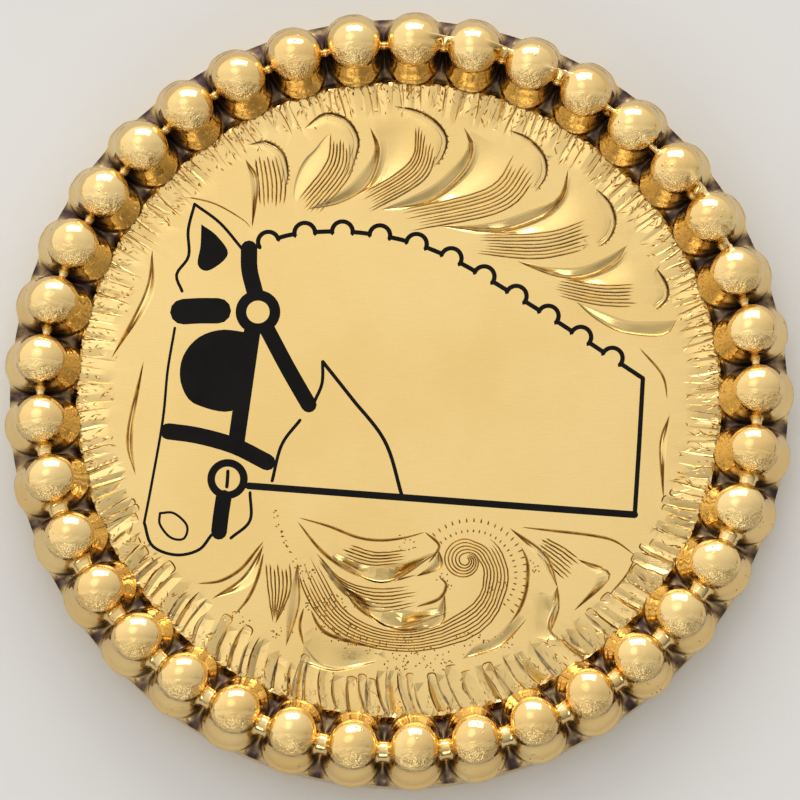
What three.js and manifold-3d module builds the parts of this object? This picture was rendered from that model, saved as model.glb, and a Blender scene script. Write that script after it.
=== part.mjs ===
// A round concho: an engraved plate with a black inlaid horse's head, inside a rim of beads.
// Millimetres, +Z up. It lies face up, with the origin in the middle of its underside.
import * as THREE from 'three';
import { mergeVertices } from 'three/addons/utils/BufferGeometryUtils.js';
import Module from 'manifold-3d';

const wasm = await Module();
wasm.setup();

// Bead rim
const beadCount = 37;
const beadCircleRadius = 17.2;
const beadReach = 3.7;           // across the rim
const beadWidth = 2.8;           // along the rim
const beadHeight = 2.3;          // above the web
const neckWidth = 1.2;
const neckHeight = 0.8;          // above the web
const webThickness = 0.4;

// Plate
const seatThickness = 1.2;       // the plate under the beads
const faceZ = 2.2;               // the engraved face
const webOverhang = 0.3;         // the beads stand out past the web and the plate's edge
const backWall = 1.0;            // metal left between the hollow back and the face
const backRimWidth = 2.6;        // flat edge that the concho lies on, inside the bead circle
const hollowDraft = 0.3;         // the hollow's wall leans out this much
const solderGap = 0.3;           // between the plate and the bead rim

// Screw socket
const bossRadius = 4.0;
const socketRadius = 1.65;
const socketRoof = 0.45;         // metal left between the socket and the face

// Engraving
const cutDepth = 0.22;           // leaves and stems
const hookWidth = 0.34;
const linerWidth = 0.22;
const linerCount = 3;
const borderWidth = 1.45;
const borderCutWidth = 0.4;
const borderCutsPerBead = 1;
const borderSlant = 0.35;        // share of the step between two cuts
const faceMargin = 0.25;         // plain edge outside the border

// Inlay
const inlayDepth = 0.16;
const outlineWidth = 0.16;
const reinWidth = 0.32;
const strapWidth = 0.62;
const braidCount = 11;
const braidRadius = 0.42;

// Sizes that follow from these
const rimOuterRadius = beadCircleRadius + beadReach / 2;
const rimInnerRadius = beadCircleRadius - beadReach / 2;
const seatRadius = rimOuterRadius - webOverhang;
const webInnerRadius = rimInnerRadius + webOverhang;
const faceRadius = rimInnerRadius - solderGap;
const webBottomZ = seatThickness + solderGap;
const webTopZ = webBottomZ + webThickness;
const hollowCeilingZ = faceZ - backWall;
const hollowRadius = rimInnerRadius - backRimWidth;
const cutterLift = 0.3;          // cutters stand above the face

// Sides of the round forms
const circleSteps = 2 * beadCount;
const bossSteps = 24;
const beadSides = 8;
const leafEdgeSteps = 6;
const crescentSteps = 5;
const lineSteps = 6;

// Places on the face are written in hundredths of its radius.
const at = (x, y) => new THREE.Vector2(x, y).multiplyScalar(faceRadius / 100);
const inward = (list) => list.map(([x, y]) => at(x, y));

// One closed mesh as a solid, turned right side out if its faces point in.
function solidOf(geometry) {
  const bare = geometry.clone();
  bare.deleteAttribute('normal');
  bare.deleteAttribute('uv');
  const merged = mergeVertices(bare, 1e-5);
  const positions = Float32Array.from(merged.attributes.position.array);
  const corners = Uint32Array.from(merged.index.array);
  const a = new THREE.Vector3();
  const b = new THREE.Vector3();
  const c = new THREE.Vector3();
  let volume = 0;
  for (let i = 0; i < corners.length; i += 3) {
    a.fromArray(positions, 3 * corners[i]);
    b.fromArray(positions, 3 * corners[i + 1]);
    c.fromArray(positions, 3 * corners[i + 2]);
    volume += a.dot(b.cross(c));
  }
  if (volume < 0) {
    for (let i = 0; i < corners.length; i += 3) {
      const first = corners[i];
      corners[i] = corners[i + 1];
      corners[i + 1] = first;
    }
  }
  const mesh = new wasm.Mesh({ numProp: 3, vertProperties: positions, triVerts: corners });
  return new wasm.Manifold(mesh);
}

function meshOf(solid, name, material) {
  const { vertProperties, triVerts } = solid.getMesh();
  const geometry = new THREE.BufferGeometry();
  geometry.setAttribute('position', new THREE.BufferAttribute(vertProperties, 3));
  geometry.setIndex(new THREE.BufferAttribute(triVerts, 1));
  geometry.computeVertexNormals();
  const mesh = new THREE.Mesh(geometry, material);
  mesh.name = name;
  return mesh;
}

const joined = (solids) => solids.reduce((whole, next) => whole.add(next));

// A lathe turns about Y, and the concho stands on Z.
function turned(profile, steps) {
  return new THREE.LatheGeometry(profile, steps).rotateX(Math.PI / 2);
}

// Bead rim

// A bead is a ball on a wider collar. Each level is its height above the web as a share of the
// bead's height, and its half size as a share of the bead's, across the rim and along it.
const beadLevels = [
  { height: -0.08, across: 0.97, along: 0.97 },
  { height: 0.2, across: 1.0, along: 1.0 },
  { height: 0.56, across: 0.78, along: 0.9 },
  { height: 0.88, across: 0.42, along: 0.48 },
];

function makeBead(angle) {
  const heightOf = (level) => webTopZ + level.height * beadHeight;
  const profile = [new THREE.Vector2(0, heightOf(beadLevels[0]))];
  for (const level of beadLevels) profile.push(new THREE.Vector2(level.across, heightOf(level)));
  profile.push(new THREE.Vector2(0, webTopZ + beadHeight));
  const bead = turned(profile, beadSides);
  const places = bead.attributes.position;
  for (let i = 0; i < places.count; i++) {
    const level = beadLevels.find((each) => Math.abs(heightOf(each) - places.getZ(i)) < 1e-4);
    if (level) places.setY(i, (places.getY(i) * level.along) / level.across);
  }
  bead.scale(beadReach / 2, beadWidth / 2, 1);
  return bead.translate(beadCircleRadius, 0, 0).rotateZ(angle);
}

// The web under the beads, with the ridge that joins them as necks.
function makeWeb() {
  const neckTopZ = webTopZ + neckHeight;
  const profile = [
    [webInnerRadius, webBottomZ],
    [seatRadius, webBottomZ],
    [seatRadius, webTopZ],
    [beadCircleRadius + neckWidth / 2, webTopZ],
    [beadCircleRadius, neckTopZ],
    [beadCircleRadius - neckWidth / 2, webTopZ],
    [webInnerRadius, webTopZ],
    [webInnerRadius, webBottomZ],
  ];
  return turned(profile.map(([out, up]) => new THREE.Vector2(out, up)), beadCount);
}

function makeBeadRim() {
  const parts = [solidOf(makeWeb())];
  const beadStep = (2 * Math.PI) / beadCount;
  for (let i = 0; i < beadCount; i++) parts.push(solidOf(makeBead(i * beadStep)));
  return joined(parts);
}

// Plate

function makePlateBlank() {
  const profile = [
    [0, hollowCeilingZ],
    [hollowRadius, hollowCeilingZ],
    [hollowRadius + hollowDraft, 0],
    [seatRadius, 0],
    [seatRadius, seatThickness],
    [faceRadius, seatThickness],
    [faceRadius, faceZ],
    [0, faceZ],
  ];
  const disc = solidOf(turned(profile.map(([out, up]) => new THREE.Vector2(out, up)), circleSteps));
  const bossHeight = hollowCeilingZ + backWall / 4;
  const boss = new THREE.CylinderGeometry(bossRadius, bossRadius, bossHeight, bossSteps);
  boss.rotateX(Math.PI / 2).translate(0, 0, bossHeight / 2);
  const socketDepth = faceZ - socketRoof + cutterLift;
  const socket = new THREE.CylinderGeometry(socketRadius, socketRadius, socketDepth, bossSteps);
  socket.rotateX(Math.PI / 2).translate(0, 0, socketDepth / 2 - cutterLift);
  return disc.add(solidOf(boss)).subtract(solidOf(socket));
}

// Cutters

const curveThrough = (points) => new THREE.SplineCurve(points);

// A graver's cut with a V section that follows a curve on the face.
function vCut(points, width, depth, steps) {
  const flat = curveThrough(points).getPoints(steps);
  const path = new THREE.CatmullRomCurve3(flat.map((p) => new THREE.Vector3(p.x, p.y, faceZ)));
  const flare = 1 + cutterLift / depth;
  const section = new THREE.Shape([
    new THREE.Vector2(depth, 0),
    new THREE.Vector2(-cutterLift, (flare * width) / 2),
    new THREE.Vector2(-cutterLift, (-flare * width) / 2),
  ]);
  return solidOf(new THREE.ExtrudeGeometry(section, { steps, extrudePath: path }));
}

// A pocket of even depth inside an outline.
function pocket(outline, depth) {
  const options = { depth: depth + cutterLift, bevelEnabled: false, curveSegments: 6 };
  return solidOf(new THREE.ExtrudeGeometry(outline, options).translate(0, 0, faceZ - depth));
}

// The outline between two curves that share their ends.
function crescent(oneSide, otherSide, steps) {
  const out = curveThrough(oneSide).getPoints(steps);
  const back = curveThrough(otherSide).getPoints(steps);
  return new THREE.Shape([...out, ...back.reverse().slice(1, -1)]);
}

// The outline of a band of even width along a curve.
function band(points, width, steps) {
  const curve = curveThrough(points);
  const left = [];
  const right = [];
  for (let i = 0; i <= steps; i++) {
    const along = curve.getTangent(i / steps);
    const aside = new THREE.Vector2(-along.y, along.x).multiplyScalar(width / 2);
    const middle = curve.getPoint(i / steps);
    left.push(middle.clone().add(aside));
    right.push(middle.clone().sub(aside));
  }
  return new THREE.Shape([...left, ...right.reverse()]);
}

function ringOutline(middle, outer, inner) {
  const ring = new THREE.Shape().absarc(middle.x, middle.y, outer, 0, 2 * Math.PI);
  ring.holes.push(new THREE.Path().absarc(middle.x, middle.y, inner, 0, 2 * Math.PI));
  return ring;
}

// Engraved leaves

// Each leaf of the upper scroll grows from a root on the neck's side to a crown at the border.
const upperLeaves = [
  { root: [-39.8, 61.2], crown: [-42.7, 82.5] },
  { root: [-30.8, 60.6], crown: [-14.5, 87.9] },
  { root: [-12.0, 60.0], crown: [13.0, 88.0] },
  { root: [2.0, 56.8], crown: [45.8, 79.5] },
  { root: [27.3, 46.3], crown: [69.5, 59.6] },
  { root: [53.3, 33.3], crown: [84.0, 34.3] },
];

// Places on a leaf as shares of its length: along it from the root, and to its left.
const leafHook = [[0.88, 0.26], [1.0, 0.05], [0.97, -0.11], [0.83, -0.21]];
const leafOuterEdge = [[0, -0.03], [0.48, -0.34], [0.88, -0.37], [1.05, -0.18]];
const leafInnerEdge = [[0, -0.03], [0.45, -0.2], [0.8, -0.25], [1.05, -0.18]];

function leafCuts({ root, crown }) {
  const start = at(...root);
  const along = at(...crown).sub(start);
  const aside = new THREE.Vector2(-along.y, along.x);
  const onLeaf = ([u, v]) => start.clone().addScaledVector(along, u).addScaledVector(aside, v);
  const cuts = [
    vCut(leafHook.map(onLeaf), hookWidth, cutDepth, 4),
    pocket(crescent(leafOuterEdge.map(onLeaf), leafInnerEdge.map(onLeaf), leafEdgeSteps), cutDepth),
  ];
  for (let i = 0; i < linerCount; i++) {
    const share = i / (linerCount - 1);
    const tip = [0.8 + 0.05 * share, 0.06 - 0.2 * share];
    const belly = [0.45, -0.02 - 0.12 * share];
    const foot = [0.06, 0.07 - 0.1 * share];
    cuts.push(vCut([foot, belly, tip].map(onLeaf), linerWidth, cutDepth / 2, 3));
  }
  return cuts;
}

// Bright-cut crescents away from the fan of leaves, each as its outer and its inner edge.
const crescents = [
  [[[-49.5, 77.4], [-45.2, 70.1], [-47.3, 54.9]], [[-49.5, 77.4], [-56.3, 63.5], [-47.3, 54.9]]],
  [[[-43, -47], [-50, -58], [-59.2, -65.4]], [[-43, -47], [-46.2, -60.6], [-59.2, -65.4]]],
  [[[-35, -60], [-31.7, -67.3], [-36, -76]], [[-35, -60], [-36.5, -68], [-36, -76]]],
  [[[-32, -40.4], [-16, -56.5], [12.3, -49.2]], [[-32, -40.4], [-14, -50], [12.3, -49.2]]],
  [[[-17.7, -61.5], [-2, -75.4], [15.8, -69.8]], [[-17.7, -61.5], [0, -68], [15.8, -69.8]]],
  [[[35.2, -42.8], [50.3, -61.2], [48, -74.9]], [[35.2, -42.8], [46, -60], [48, -74.9]]],
  [[[38.9, -48.9], [43.5, -62], [34.8, -74.2]], [[38.9, -48.9], [40, -62], [34.8, -74.2]]],
  [[[56.7, -52.7], [69, -57], [55.5, -69.2]], [[56.7, -52.7], [62, -59.5], [55.5, -69.2]]],
];

// Single cuts: the leaf edges and the thin cuts beside the figure.
const singleCuts = [
  [[-79.2, 47.6], [-81.4, 33.6], [-92, 12.1]],
  [[-81.7, 11.1], [-86.7, -13], [-83.9, -26]],
  [[77, 15.5], [84.2, 6.7], [85.8, -1.3]],
  [[86.4, -6.3], [83.3, -15.9], [84.2, -33]],
  [[-43, -46.4], [-50.5, -55], [-63.9, -60.6]],
  [[-32, -39.3], [-13.3, -45.7], [8.3, -44.1]],
  [[38.9, -42.5], [61.1, -45.1], [75.2, -51.6]],
  [[-28, -68.8], [-20.5, -77.7], [-5.2, -81.5]],
  [[43.5, -47.5], [50.5, -53], [57.2, -58.5]],
  [[-39, -53.9], [-39.6, -64], [-39.6, -73]],
];

// The stem of the lower scroll: parallel cuts that sweep round into a spiral.
const stemSweep = [[-27, -61.5], [-10.5, -76.4], [0.5, -80], [13, -79], [25.5, -72.7]];
const spiralMiddle = [21.5, -54.5];
const spiralTurns = 1.4;
const spiralReach = 12.5;
const spiralEye = 3.4;
const stemCutCount = 2;
const stemCutStep = 3.2;

function stemCuts() {
  const cuts = [];
  for (let i = 0; i < stemCutCount; i++) {
    const shift = (i - (stemCutCount - 1) / 2) * stemCutStep;
    const points = stemSweep.map(([x, y]) => at(x - 0.3 * shift, y + shift));
    for (let step = 0; step <= 9; step++) {
      const share = step / 9;
      const angle = THREE.MathUtils.degToRad(-38) + share * spiralTurns * 2 * Math.PI;
      const reach = spiralReach * (1 - share) + spiralEye * share - shift;
      const across = spiralMiddle[0] + reach * Math.cos(angle);
      points.push(at(across, spiralMiddle[1] + reach * Math.sin(angle)));
    }
    cuts.push(vCut(points, hookWidth, cutDepth / 2, 15));
  }
  return cuts;
}

// A zigzag of slanting cuts round the face's edge.
function borderCuts() {
  const cuts = [];
  const cutCount = borderCutsPerBead * beadCount;
  const step = (2 * Math.PI) / cutCount;
  for (let i = 0; i < cutCount; i++) {
    const outer = faceRadius - faceMargin;
    const slant = (i % 2 ? 1 : -1) * borderSlant * step;
    const ends = [
      new THREE.Vector2(outer - borderWidth, 0).rotateAround(new THREE.Vector2(), i * step - slant),
      new THREE.Vector2(outer, 0).rotateAround(new THREE.Vector2(), i * step + slant),
    ];
    cuts.push(vCut(ends, borderCutWidth, cutDepth, 1));
  }
  return cuts;
}

// Pockets of the black inlay: a harnessed horse's head that looks left

const rosettePlace = [-44.5, 27.5];
const bitPlace = [-56, -26.5];
const rosetteRadius = 1.02;
const bitRadius = 0.92;

const faceLine = [[-64, 47], [-72, 32], [-75, 8], [-80, -20], [-83.5, -38]];
const muzzleLine = [[-83.5, -38], [-80, -48], [-70, -52], [-62, -49], [-58, -40]];
const jawLine = [[-58, -40], [-44, -36], [-30, -25], [-24, -8], [-31, 9]];
const crestLine = [[-47, 49], [-32, 55], [-10, 55.5], [20, 44], [50, 26.5], [77, 7]];
const throatLine = [[-24, -8], [-13, -13], [-3, -23], [2, -33.5]];
const baseLine = [[77, 7], [81, -6], [80, -22], [75, -39]];
const reinLine = [[-50, -28.5], [-10, -33.5], [35, -37.5], [75, -39]];
const nearEar = [[-60.5, 45], [-64, 58], [-60, 71], [-51.5, 62], [-50, 50]];
const farEar = [[-66, 46], [-73, 56], [-73, 66], [-67, 62], [-63.5, 58]];

function inlayOutlines() {
  const lines = [faceLine, muzzleLine, jawLine, crestLine, throatLine, baseLine, nearEar, farEar];
  const outlines = lines.map((line) => band(inward(line), outlineWidth, lineSteps));
  outlines.push(band(inward(reinLine), reinWidth, 4));
  const rosette = at(...rosettePlace);
  const bit = at(...bitPlace);
  outlines.push(ringOutline(rosette, rosetteRadius, rosetteRadius * 0.55));
  outlines.push(ringOutline(bit, bitRadius, bitRadius * 0.62));
  outlines.push(...strapOutlines(), ...braidOutlines());
  return outlines;
}

function strapOutlines() {
  const straps = [
    [[[-49, 49], [-47.5, 42], [-45.8, 33]], 1.15],
    [[[-73, 33], [-62, 33.5], [-51, 30]], 1.1],
    [[[-48.5, 22.5], [-51, 2], [-54.5, -20]], 0.9],
    [[[-41.5, 22], [-33, 8], [-27, -8]], 0.85],
    [[[-78, -8], [-64, -8.5], [-52, -13], [-40, -21]], 0.85],
    [[[-57, -32.5], [-58, -40], [-60, -49]], 0.85],
  ];
  const outlines = straps.map(([line, widthShare]) => {
    return band(inward(line), strapWidth * widthShare, 3);
  });
  const blinker = [[-70, 20], [-72, 8], [-68, -2], [-58, -4], [-53.5, 2], [-52, 22], [-61, 24.5]];
  outlines.push(new THREE.Shape(inward(blinker)));
  const earHollow = [[-60, 50], [-61.5, 60], [-58.5, 66], [-54, 60], [-53.5, 53]];
  outlines.push(new THREE.Shape(inward(earHollow)));
  return outlines;
}

// Half-round braids that stand on the crest.
function braidOutlines() {
  const crest = curveThrough(inward(crestLine));
  const outlines = [];
  for (let i = 0; i < braidCount; i++) {
    const share = 0.1 + (0.86 * i) / (braidCount - 1);
    const middle = crest.getPointAt(share);
    const heading = crest.getTangentAt(share).angle();
    const braid = [];
    for (let step = 0; step <= 3; step++) {
      const out = new THREE.Vector2(braidRadius, 0);
      braid.push(out.rotateAround(new THREE.Vector2(), heading + (step / 3) * Math.PI).add(middle));
    }
    outlines.push(new THREE.Shape(braid));
  }
  return outlines;
}

function makeEngravedPlate() {
  const cuts = [
    ...upperLeaves.flatMap(leafCuts),
    ...crescents.map(([outer, inner]) => {
      return pocket(crescent(inward(outer), inward(inner), crescentSteps), cutDepth);
    }),
    ...singleCuts.map((points) => vCut(inward(points), hookWidth, cutDepth * 0.8, 3)),
    ...stemCuts(),
    ...borderCuts(),
    ...inlayOutlines().map((outline) => pocket(outline, inlayDepth)),
  ];
  return makePlateBlank().subtract(joined(cuts));
}

const gold = new THREE.MeshStandardMaterial({ color: 0xe0bc72, roughness: 0.35, metalness: 1 });
const beadGold = new THREE.MeshStandardMaterial({ color: 0xe6c277, roughness: 0.2, metalness: 1 });

const group = new THREE.Group();
group.add(meshOf(makeEngravedPlate(), 'engraved_plate', gold));
group.add(meshOf(makeBeadRim(), 'bead_rim', beadGold));

export default group;
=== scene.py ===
import math
import random

import bmesh
import bpy
import numpy as np
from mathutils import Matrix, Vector
from mathutils.geometry import delaunay_2d_cdt


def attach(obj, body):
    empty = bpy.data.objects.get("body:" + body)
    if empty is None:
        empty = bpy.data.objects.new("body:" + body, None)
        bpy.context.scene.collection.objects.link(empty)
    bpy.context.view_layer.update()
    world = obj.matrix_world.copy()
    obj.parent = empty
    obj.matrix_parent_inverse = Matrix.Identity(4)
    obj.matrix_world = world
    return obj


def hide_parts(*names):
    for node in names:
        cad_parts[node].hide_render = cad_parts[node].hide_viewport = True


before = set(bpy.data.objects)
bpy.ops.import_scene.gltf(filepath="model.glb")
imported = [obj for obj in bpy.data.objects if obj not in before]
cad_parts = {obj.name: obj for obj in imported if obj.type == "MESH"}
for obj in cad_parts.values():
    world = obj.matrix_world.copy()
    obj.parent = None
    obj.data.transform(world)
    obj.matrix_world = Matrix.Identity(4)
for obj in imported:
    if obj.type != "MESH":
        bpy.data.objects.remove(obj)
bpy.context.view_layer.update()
rng = random.Random(37)
noise = np.random.default_rng(37)

MM = 0.001
TURN = 2 * math.pi

# Bead rim, in millimetres
BEAD_COUNT = 37
BEAD_CIRCLE = 17.2
BEAD_REACH = 1.82  # half its size across the rim, at its collar
BEAD_WIDTH = 1.43  # half its size along the rim
BEAD_HEIGHT = 2.27  # above the web
WIDEST = 0.4  # height above the web where the collar is widest
COLLAR_TALL = 1.6
FOOT_TALL = 1.7  # the same, below where it is widest
LIP_TALL = 0.3  # the collar's thin lip, at its foot
LIP_OUT = 0.09
BEAD_SQUARE = 2.25  # 2 is an oval in plan, and more is squarer
BALL_RADIUS = 1.46
BALL_NORTH = 0.13  # how far each ball sits off its collar's middle
BALL_SPREAD = 0.13  # how much wider the balls are at the top
BALL_WALL = 1.17  # where the ball drops to its collar
WEB_TOP = 1.9
WEB_FOOT = 1.22
WEB_HALF = 1.54
NECK_RADIUS = 0.5  # along the bottom
THIN_NECK = 0.2  # elsewhere
NECK_RISE = 0.82
RAY_START = -0.06  # height of the line that the rim's surface is sought from
RAY_LENGTH = 3.1
GAP = math.pi * BEAD_CIRCLE / BEAD_COUNT  # half the way from one bead to the next

# Plate
FACE_RADIUS = 15.05
FACE_EDGE = 15.4  # with the ragged burr that the border's cuts push out
FACE_Z = 2.2
SEAT_Z = 1.2
SEAT_RADIUS = 18.74
HOLLOW_RADIUS = 12.75
HOLLOW_DRAFT = 0.3
HOLLOW_CEILING = 1.2
BOSS_RADIUS = 4.0
SOCKET_RADIUS = 1.65
SOCKET_TOP = 1.75
THREAD_PITCH = 0.5
THREAD_DEPTH = 0.18
RIM_STEPS = 1440

# Engraving
LINER_WIDTH = 0.088
LINER_DEPTH = 0.06
HOOK_WIDTH = 0.22
HOOK_DEPTH = 0.12
FACET_DEPTH = 0.18
LOBE_DEPTH = 0.08
DISH_DEPTH = 0.13
BORDER_INNER = 13.45
MUZZLE_TURN = math.radians(210)  # where the border keeps clear of the picture
MUZZLE_KEEP = 0.55
TOOTH_STEP = 0.4
TOOTH_DEPTH = 0.12
FINE_MARKS = 1000
EDGE_NICKS = 460
PATH_POINTS = 18
# The section of a wide cut: shares of the way across it, each with its share of the depth.
SCOOP = [(0.0, 0.0), (0.08, 0.75), (0.16, 1.0), (0.36, 0.86), (0.6, 0.48), (0.82, 0.13), (1.0, 0.0)]

# Inlay
INLAY_DEPTH = 0.16
INLAY_TOP = 0.012  # below the face
INLAY_GAP = 0.01  # under it
NOSTRIL_WIDTH = 0.12
CREST_WIDTH = 0.22
REIN = 0.34
BRAID_COUNT = 11
BRAID_RADIUS = 0.5

# Camera and floor, in metres
CAMERA_TARGET = Vector((0.00005, -0.0002, 0.0021))
CAMERA_LIFT = math.radians(80)
CAMERA_DISTANCE = 0.2138
CAMERA_LENS = 200
FLOOR_HALF = 0.6


def at(x, y):
    """A place on the face, from hundredths of its radius."""
    return np.array([x, y], float) * FACE_RADIUS / 100


def polar(reach, turn):
    return reach * np.array([math.cos(turn), math.sin(turn)])


def spline(points, count):
    """Evenly spread points on a smooth curve through the given ones."""
    points = [np.array(p, float) for p in points]
    if len(points) == 2:
        return [points[0] + (points[1] - points[0]) * i / (count - 1) for i in range(count)]
    padded = [2 * points[0] - points[1], *points, 2 * points[-1] - points[-2]]
    fine = []
    for i in range(1, len(padded) - 2):
        p0, p1, p2, p3 = padded[i - 1 : i + 3]
        for step in range(24):
            t = step / 24
            fine.append(
                0.5
                * (
                    2 * p1
                    + (p2 - p0) * t
                    + (2 * p0 - 5 * p1 + 4 * p2 - p3) * t * t
                    + (3 * p1 - p0 - 3 * p2 + p3) * t**3
                )
            )
    fine.append(points[-1])
    fine = np.array(fine)
    run = np.concatenate([[0], np.cumsum(np.linalg.norm(np.diff(fine, axis=0), axis=1))])
    spots = np.linspace(0, run[-1], count)
    return [np.array([np.interp(s, run, fine[:, k]) for k in (0, 1)]) for s in spots]


def on_face(points, count):
    return spline([at(*p) for p in points], count)


def sides(path):
    """The direction to the left of a path at each of its points."""
    out = []
    for i, p in enumerate(path):
        before, after = path[max(i - 1, 0)], path[min(i + 1, len(path) - 1)]
        along = after - before
        along = along / max(np.linalg.norm(along), 1e-9)
        out.append(np.array([-along[1], along[0]]))
    return out


def swell(count, start, end):
    """A cut's strength along it. It comes up over the start share and dies off over the end's."""
    shares = np.linspace(0, 1, count)
    up = np.clip(shares / max(start, 1e-6), 0, 1) if start else np.ones(count)
    down = np.clip((1 - shares) / max(end, 1e-6), 0, 1) if end else np.ones(count)
    return np.sqrt(np.minimum(up, 1)) * np.sqrt(np.minimum(down, 1))


class Face:
    """The plane figure of the face: lines that the mesh follows, and sloping patches of cuts."""

    def __init__(self):
        self.points = []
        self.edges = []
        self.patches = []
        self.shapes = []

    def line(self, path, closed=False):
        first = len(self.points)
        self.points += [tuple(p) for p in path]
        last = len(self.points) - 1
        self.edges += [(i, i + 1) for i in range(first, last)]
        if closed:
            self.edges.append((last, first))

    def groove(self, left, right, depth, strength, lean=0.5, grime_and_shade=0.0):
        """A cut between two lines, deepest at the lean share of the way from left to right."""
        floor = [a + (b - a) * lean for a, b in zip(left, right)]
        for path in (left, floor, right):
            self.line(path)
        for i in range(len(left) - 1):
            here, there = -depth * strength[i], -depth * strength[i + 1]
            for edge in (left, right):
                a, b = (*edge[i], 0.0), (*edge[i + 1], 0.0)
                c, d = (*floor[i], here), (*floor[i + 1], there)
                self.patches += [(a, b, d, (0, 0, grime_and_shade)), (a, d, c, (0, grime_and_shade, grime_and_shade))]

    def cut(self, path, width, depth, start=0.3, end=0.3, lean=0.5, grime_and_shade=0.8):
        """A graver's cut along a path."""
        strength = swell(len(path), start, end)
        aside = sides(path)
        half = np.maximum(strength, 0.04) * width / 2
        left = [p + n * h for p, n, h in zip(path, aside, half)]
        right = [p - n * h for p, n, h in zip(path, aside, half)]
        self.groove(left, right, depth, strength, lean, grime_and_shade)

    def scoop(self, left, right, depth, strength):
        """A wide soft hollow: steep at its left line, and rising slowly to its right one."""
        rows = [between(left, right, share) for share, _ in SCOOP]
        for row in rows:
            self.line(row)
        for k in range(len(SCOOP) - 1):
            near, far, up, down = rows[k], rows[k + 1], SCOOP[k][1], SCOOP[k + 1][1]
            for i in range(len(near) - 1):
                here, there = -depth * strength[i], -depth * strength[i + 1]
                a, b = (*near[i], here * up), (*near[i + 1], there * up)
                c, d = (*far[i], here * down), (*far[i + 1], there * down)
                self.patches += [(a, b, d, (0, 0, 0)), (a, d, c, (0, 0, 0))]

    def facet(self, edge, back, depth, ripple=0.2, count=PATH_POINTS):
        """A bright cut: steep at its edge and wide towards its back."""
        left, right = on_face(edge, count), on_face(back, count)
        strength = swell(count, 0.3, 0.3) * (1 + ripple * np.sin(np.linspace(0, 11, count)))
        self.scoop(left, right, depth, strength)
        self.cut(between(left, right, 0.04), 0.13, depth * 0.6, 0.2, 0.2, 0.5, 1.0)

    def shape(self, outline):
        """A part of the inlay. Its outline becomes a wall."""
        self.line(outline, closed=True)
        self.shapes.append(np.array(outline))

    def band(self, path, width, cap=0):
        """A strip of the inlay along a path, with round ends of so many steps."""
        aside = sides(path)
        left = [p + n * width / 2 for p, n in zip(path, aside)]
        right = [p - n * width / 2 for p, n in zip(path, aside)]
        outline = []
        for side, end, n in ((left, path[-1], aside[-1]), (right[::-1], path[0], -aside[0])):
            outline += side
            along = np.array([n[1], -n[0]])
            for step in range(1, cap):
                turn = math.pi * step / cap
                outline.append(end + (n * math.cos(turn) + along * math.sin(turn)) * width / 2)
        self.shape(outline)

    def ring(self, middle, outer, inner, count=40):
        turn = np.linspace(0, TURN, count, endpoint=False)
        circle = np.stack([np.cos(turn), np.sin(turn)], 1)
        self.line(middle + circle * outer, closed=True)
        self.line(middle + circle * inner, closed=True)
        self.shapes.append((middle, outer, inner))


def between(first, second, share):
    return [a + (b - a) * share for a, b in zip(first, second)]


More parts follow.
